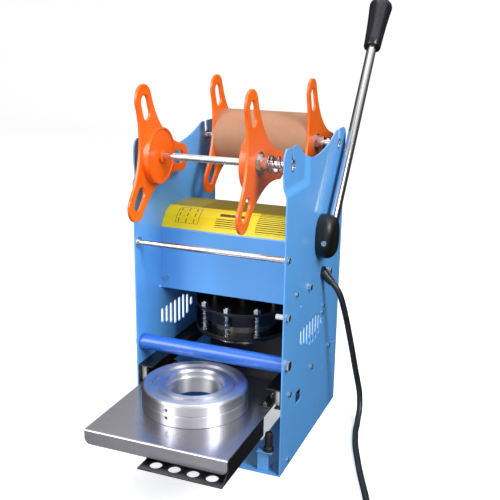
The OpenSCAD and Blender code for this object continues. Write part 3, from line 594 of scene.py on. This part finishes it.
def make_camera():
    """Camera in front and to the right, turned left, tilted down and rolled a little."""
    yaw, pitch, roll = (math.radians(a) for a in CAMERA_DEGREES)
    ahead = Vector((-math.sin(yaw) * math.cos(pitch), math.cos(yaw) * math.cos(pitch), -math.sin(pitch)))
    right = Vector((math.cos(yaw), math.sin(yaw), 0))
    up = right.cross(ahead)
    c, s = math.cos(roll), math.sin(roll)
    right, up = c * right + s * up, c * up - s * right
    data = bpy.data.cameras.new("camera")
    data.sensor_width = SENSOR_MM
    data.lens = LENS_MM
    data.clip_start = 0.01
    camera = bpy.data.objects.new("camera", data)
    turned = Matrix((right, up, -ahead)).transposed().to_4x4()
    camera.matrix_world = Matrix.Translation(CAMERA_PLACE) @ turned
    bpy.context.scene.collection.objects.link(camera)
    bpy.context.scene.camera = camera


make_camera()


# ---------- studio ----------
SWEEP_HALF_WIDTH = 9.0
SWEEP_FRONT = -6.0
SWEEP_BEND = 3.0
SWEEP_RADIUS = 2.0
SWEEP_TOP = 7.0
SWEEP_STEPS = 24
FLOOR_DROP = 0.0002
FLOOR_GLOW = 0.42


def floor_paper():
    """White paper with a little light of its own, so that it shows no horizon."""
    s = Surface("studio_floor", (0.92, 0.92, 0.92), 0.7)
    s.set("Specular IOR Level", 0.0)
    s.set("Emission Color", (1, 1, 1, 1))
    s.set("Emission Strength", FLOOR_GLOW)
    s.color(s.mix(s.ramp(s.noise(2, 2, 0.5), 0.3, 0.7), (0.915, 0.915, 0.915), (0.925, 0.925, 0.925)))
    return s.material


def make_floor():
    """White sweep: a flat floor that curves up far behind the object."""
    turns = [math.pi / 2 * k / SWEEP_STEPS for k in range(SWEEP_STEPS + 1)]
    profile = [(SWEEP_FRONT, 0.0)]
    profile += [(SWEEP_BEND + SWEEP_RADIUS * math.sin(a), SWEEP_RADIUS - SWEEP_RADIUS * math.cos(a))
                for a in turns]
    profile.append((SWEEP_BEND + SWEEP_RADIUS, SWEEP_TOP))
    bm = bmesh.new()
    rows = [add_ring(bm, [(x, y, z) for x in (-SWEEP_HALF_WIDTH, SWEEP_HALF_WIDTH)]) for y, z in profile]
    for a, b in zip(rows, rows[1:]):
        bm.faces.new((a[0], a[1], b[1], b[0]))
    floor = mesh_object("studio_floor", bm)
    floor.location.z = -FLOOR_DROP
    floor.data.materials.append(floor_paper())
    floor.visible_glossy = False
    floor.visible_diffuse = False


def area_light(name, spot, target, size, power):
    data = bpy.data.lights.new(name, "AREA")
    data.shape = "RECTANGLE"
    data.size, data.size_y = size
    data.energy = power
    light = bpy.data.objects.new(name, data)
    light.location = spot
    light.rotation_euler = (Vector(target) - Vector(spot)).to_track_quat("-Z", "Y").to_euler()
    bpy.context.scene.collection.objects.link(light)


# Each fade: where it starts and ends, and the brightness at both.
WORLD_OVERHEAD = (0.10, 0.75, 0.07, 1.05)
WORLD_BEHIND = (-0.60, -0.82, 0.0, 0.75)
BOX_SHIFT = 0.35
BOX_RATE = 7.0
BOX_SWING = 0.42
BOX_MEAN = 0.58


def world_number(tree, operation, *values):
    """Math node fed with numbers or with other nodes' outputs."""
    made = tree.nodes.new("ShaderNodeMath")
    made.operation = operation
    for socket, value in zip(made.inputs, values):
        if isinstance(value, bpy.types.NodeSocket):
            tree.links.new(value, socket)
        else:
            socket.default_value = value
    return made.outputs[0]


def world_fade(tree, value, limits):
    """Smooth change between two brightnesses along one direction of the sky."""
    made = tree.nodes.new("ShaderNodeMapRange")
    made.interpolation_type = "SMOOTHSTEP"
    for key, limit in zip(("From Min", "From Max", "To Min", "To Max"), limits):
        made.inputs[key].default_value = limit
    tree.links.new(value, made.inputs["Value"])
    return made.outputs["Result"]


def make_world():
    """Soft boxes overhead with dark gaps between them, and a bright wall behind the camera, so that
    polished bars show light and dark stripes. The camera itself sees plain white."""
    world = bpy.data.worlds.new("studio")
    world.use_nodes = True
    tree = world.node_tree
    split = tree.nodes.new("ShaderNodeSeparateXYZ")
    tree.links.new(tree.nodes.new("ShaderNodeTexCoord").outputs["Generated"], split.inputs[0])
    x, y, z = split.outputs
    shifted = world_number(tree, "ADD", x, BOX_SHIFT)
    wave = world_number(tree, "COSINE", world_number(tree, "MULTIPLY", shifted, BOX_RATE))
    boxes = world_number(tree, "MULTIPLY_ADD", wave, BOX_SWING, BOX_MEAN)
    overhead = world_fade(tree, z, WORLD_OVERHEAD)
    total = world_number(tree, "MULTIPLY_ADD", overhead, boxes, world_fade(tree, y, WORLD_BEHIND))
    seen = tree.nodes.new("ShaderNodeLightPath").outputs["Is Camera Ray"]
    background = tree.nodes["Background"]
    background.inputs["Color"].default_value = (1, 1, 1, 1)
    tree.links.new(world_number(tree, "MAXIMUM", total, seen), background.inputs["Strength"])
    bpy.context.scene.world = world


def make_lights():
    """Key light front left, side light front right and a weak top light; sizes in metres, power in W."""
    centre = (0, 0.1, 0.25)
    reels = (0.1, 0.15, 0.40)
    area_light("key", spot=(-1.0, -1.5, 1.3), target=centre, size=(0.8, 1.3), power=22)
    area_light("side", spot=(1.25, -0.55, 1.25), target=reels, size=(0.5, 1.1), power=25)
    area_light("top", spot=(0.1, 0.3, 2.0), target=centre, size=(1.5, 1.2), power=9)
    bpy.context.scene.view_settings.view_transform = "Standard"


make_floor()
make_world()
make_lights()


# ---------- mains cord ----------
CORD_DIAMETER = 0.009
CORD_SIDES = 20
CORD_STEPS = 4
# From the strain relief down to the floor and forwards to the coil, in millimetres.
CORD_ROUTE = [
    (126, 169, 233), (132, 169, 227), (138, 170, 217), (142, 173, 203), (145, 178, 187),
    (148, 184, 168), (151, 189, 148), (154, 194, 128), (157, 199, 107), (160, 204, 86),
    (163, 209, 66), (166, 212, 48), (168, 211, 32), (170, 204, 19), (171, 193, 10),
    (173, 179, 5), (175, 164, 4.5), (179, 146, 4.5), (184, 126, 4.5), (190, 106, 4.5),
    (197, 86, 4.5), (204, 66, 4.5), (211, 47, 4.5), (218, 29, 4.5), (226, 9, 4.5),
    (234, -12, 4.5), (241, -34, 4.5), (247, -57, 4.5), (251, -80, 4.5), (253, -103, 4.5),
    (254, -125, 4.5),
]
COIL_TURNS = 3.25
COIL_FLOOR_TURNS = 1.5
COIL_CLIMB_TURNS = 0.25
COIL_STEPS = 36
TIE_THICKNESS = 0.0012
TIE_WIDTH = 0.005
TIE_SIDES = 32
TIE_SQUARENESS = 2 / 6


def coil_points():
    """Coil in two layers: inwards on the floor, a quarter turn of climb, and outwards on top."""
    low, high = span("cord_coil")
    centre = (low + high) / 2
    outer = (high.x - low.x) / 2 - CORD_DIAMETER / 2
    inner = outer - CORD_DIAMETER * COIL_FLOOR_TURNS
    points = []
    for i in range(1, int(COIL_TURNS * COIL_STEPS) + 1):
        turn = i / COIL_STEPS
        climb = min(max((turn - COIL_FLOOR_TURNS) / COIL_CLIMB_TURNS, 0), 1)
        ease = climb * climb * (3 - 2 * climb)
        top_turn = max(turn - COIL_FLOOR_TURNS - COIL_CLIMB_TURNS, 0)
        radius = max(outer - CORD_DIAMETER * turn, inner) + CORD_DIAMETER * top_turn
        angle = -2 * math.pi * turn
        points.append(Vector((centre.x + radius * math.cos(angle), centre.y + radius * math.sin(angle),
                              CORD_DIAMETER * (0.5 + ease))))
    return points


def make_coil_tie():
    """Flat strap round the bundle: a rounded square band in the plane of the bundle's section."""
    low, high = span("cord_coil")
    half_bundle = CORD_DIAMETER * (COIL_FLOOR_TURNS + 1) / 2
    centre = Vector(((low.x + high.x) / 2, high.y - half_bundle, CORD_DIAMETER))
    bm = bmesh.new()
    rings = []
    for inset, side in ((0, -1), (0, 1), (TIE_THICKNESS, 1), (TIE_THICKNESS, -1)):
        outline = rounded_outline(half_bundle - inset, CORD_DIAMETER - inset, TIE_SQUARENESS, TIE_SIDES)
        rings.append(add_ring(bm, [centre + Vector((side * TIE_WIDTH / 2, y, z)) for y, z in outline]))
    for a, b in zip(rings, rings[1:] + rings[:1]):
        bridge(bm, a, b)
    return place(mesh_object("cord_tie", bm), "frame", "black_plastic")


def make_cord():
    """One tube from the strain relief through the coil to the plug."""
    route = [Vector(p) * MM for p in CORD_ROUTE]
    coil = coil_points()
    plug_back = Vector((span("power_plug")[1].x, coil[-1].y, coil[-1].z))
    tail = [coil[-1].lerp(plug_back, k / CORD_STEPS) for k in range(1, CORD_STEPS + 1)]
    path = smooth_path(route, CORD_STEPS) + coil + tail
    bm = bmesh.new()
    add_tube(bm, path, CORD_DIAMETER / 2, CORD_SIDES)
    cord = mesh_object("mains_cord", bm)
    place(cord, "frame", "cord_black", ("power_cord", "cord_coil"))
    make_coil_tie()


make_cord()


# ---------- springs ----------
WIRE_SIDES = 10
SPRING_SMOOTH_ANGLE = 80
RETURN_OUTER = 0.0086
RETURN_WIRE = 0.0018
RETURN_TURNS = 8
BOLT_CIRCLE = 0.0665
BOLT_ANGLES = (270, 232, 308, 90)
HEAD_SPRING_OUTER = 0.0054
HEAD_SPRING_WIRE = 0.0012
HEAD_SPRING_TURNS = 6
REEL_SPRING_WIRE = 0.0021
REEL_SPRING_TURNS = 4.8


def wind_springs(node, body, feet, axis, length, outer, wire, turns):
    """Coiled springs, one from each foot, in place of the plain tubes of a CAD node."""
    bm = bmesh.new()
    for foot in feet:
        coil = helix(foot, axis, length, outer - wire / 2, turns, wire)
        add_tube(bm, coil, wire / 2, WIRE_SIDES)
    springs = mesh_object(node + "_wound", bm, SPRING_SMOOTH_ANGLE)
    return place(springs, body, "spring_steel", (node,))


def make_return_springs():
    """Both springs stand between the bridge and the collars of the posts, which go down with the head; the
    springs ride on the head's body.
    """
    low, high = span("return_springs")
    length = high.z - low.z
    centre_y = middle("return_springs").y
    feet = [(x, centre_y, low.z) for x in (low.x + RETURN_OUTER, high.x - RETURN_OUTER)]
    springs = wind_springs("return_springs", "head", feet, (0, 0, 1), length, RETURN_OUTER, RETURN_WIRE,
                           RETURN_TURNS)
    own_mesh(springs)


def make_head_springs():
    """Springs round the bolts between the cutter carrier and the head plate."""
    low, high = span("head_springs")
    centre = middle("head_plate")
    feet = [(centre.x + BOLT_CIRCLE * math.cos(a), centre.y + BOLT_CIRCLE * math.sin(a), low.z)
            for a in (math.radians(degrees) for degrees in BOLT_ANGLES)]
    wind_springs("head_springs", "head", feet, (0, 0, 1), high.z - low.z, HEAD_SPRING_OUTER,
                 HEAD_SPRING_WIRE, HEAD_SPRING_TURNS)


def make_reel_spring():
    """Spring on the front reel's shaft."""
    low, high = span("front_reel_spring")
    centre = middle("front_reel_spring")
    wind_springs("front_reel_spring", "front_reel", [(low.x, centre.y, centre.z)], (1, 0, 0),
                 high.x - low.x, (high.z - low.z) / 2, REEL_SPRING_WIRE, REEL_SPRING_TURNS)


make_return_springs()
make_head_springs()
make_reel_spring()


# ---------- lever ----------
# Foot of the lever's axis, its lean to the rear, and where the grip starts along it.
LEVER_FOOT = Vector((0.123, 0.155, 0.304))
LEVER_LEAN = math.radians(37)
GRIP_START = 0.328
# Radius and height above the grip's start, in millimetres.
GRIP_PROFILE = [(0, 0), (10.5, 0), (12.6, 0.8), (13.4, 3), (14.0, 14), (14.8, 30), (15.8, 46), (16.8, 60),
                (17.7, 70), (18.2, 76), (18.1, 80), (17.0, 83.5), (14.6, 86.3), (10, 88.7), (5, 89.8),
                (0, 90)]
GRIP_SIDES = 96
GRIP_FLUTES = 8
FLUTE_DEPTH = 0.045
FLUTE_START = 4
FLUTE_LENGTH = 76
FLUTE_EASE = 0.6
HUB_SIDES = 72
HUB_SQUARENESS = 2 / 2.25
HUB_ROUNDING = 0.014
HUB_ROUNDING_STEPS = 10
HUB_BACK_INSET = 0.0015
HUB_BACK_BEVEL = 0.0008


def grip_ring(radius, height, turned):
    """One level of the grip, in millimetres; a radius of 0 gives a single point."""
    fade = math.sin(math.pi * min(max((height - FLUTE_START) / FLUTE_LENGTH, 0), 1)) ** FLUTE_EASE
    ring = []
    for k in range(GRIP_SIDES if radius else 1):
        turn = 2 * math.pi * k / GRIP_SIDES
        flute = FLUTE_DEPTH * fade * (0.5 - 0.5 * math.cos(GRIP_FLUTES * turn))
        reach = radius * (1 - flute) * MM
        spot = Vector((reach * math.cos(turn), reach * math.sin(turn), GRIP_START + height * MM))
        ring.append(turned @ spot)
    return ring


def make_grip():
    """Moulded grip with soft flutes that fade out at both ends."""
    turned = Matrix.Translation(LEVER_FOOT) @ Matrix.Rotation(-LEVER_LEAN, 4, "X")
    bm = bmesh.new()
    rings = [add_ring(bm, grip_ring(radius, height, turned)) for radius, height in GRIP_PROFILE]
    for a, b in zip(rings, rings[1:]):
        if len(a) == 1 or len(b) == 1:
            tip, rim = (a, b) if len(a) == 1 else (b, a)
            for k in range(GRIP_SIDES):
                bm.faces.new((tip[0], rim[k], rim[(k + 1) % GRIP_SIDES]))
        else:
            bridge(bm, a, b)
    grip = mesh_object("lever_grip_moulded", bm, smooth_angle=50)
    place(grip, "lever", "grip_black", ("lever_grip",))


def make_hub():
    """Cast hub: an oval block whose outer face is well rounded."""
    low, high = span("lever_hub")
    centre = (low + high) / 2
    half = (high - low) / 2
    stations = [(low.x, HUB_BACK_INSET), (low.x + HUB_BACK_BEVEL, 0.0)]
    for k in range(HUB_ROUNDING_STEPS + 1):
        a = math.pi / 2 * k / HUB_ROUNDING_STEPS
        x = high.x - HUB_ROUNDING + HUB_ROUNDING * math.sin(a)
        stations.append((x, HUB_ROUNDING * (1 - math.cos(a))))
    bm = bmesh.new()
    rings = []
    for x, inset in stations:
        outline = rounded_outline(half.y - inset, half.z - inset, HUB_SQUARENESS, HUB_SIDES)
        rings.append(add_ring(bm, [(x, centre.y + y, centre.z + z) for y, z in outline]))
    for a, b in zip(rings, rings[1:]):
        bridge(bm, a, b)
    close_ends(bm, rings)
    hub = mesh_object("lever_hub_cast", bm, smooth_angle=60)
    place(hub, "lever", "black_paint", ("lever_hub",))


make_grip()
make_hub()
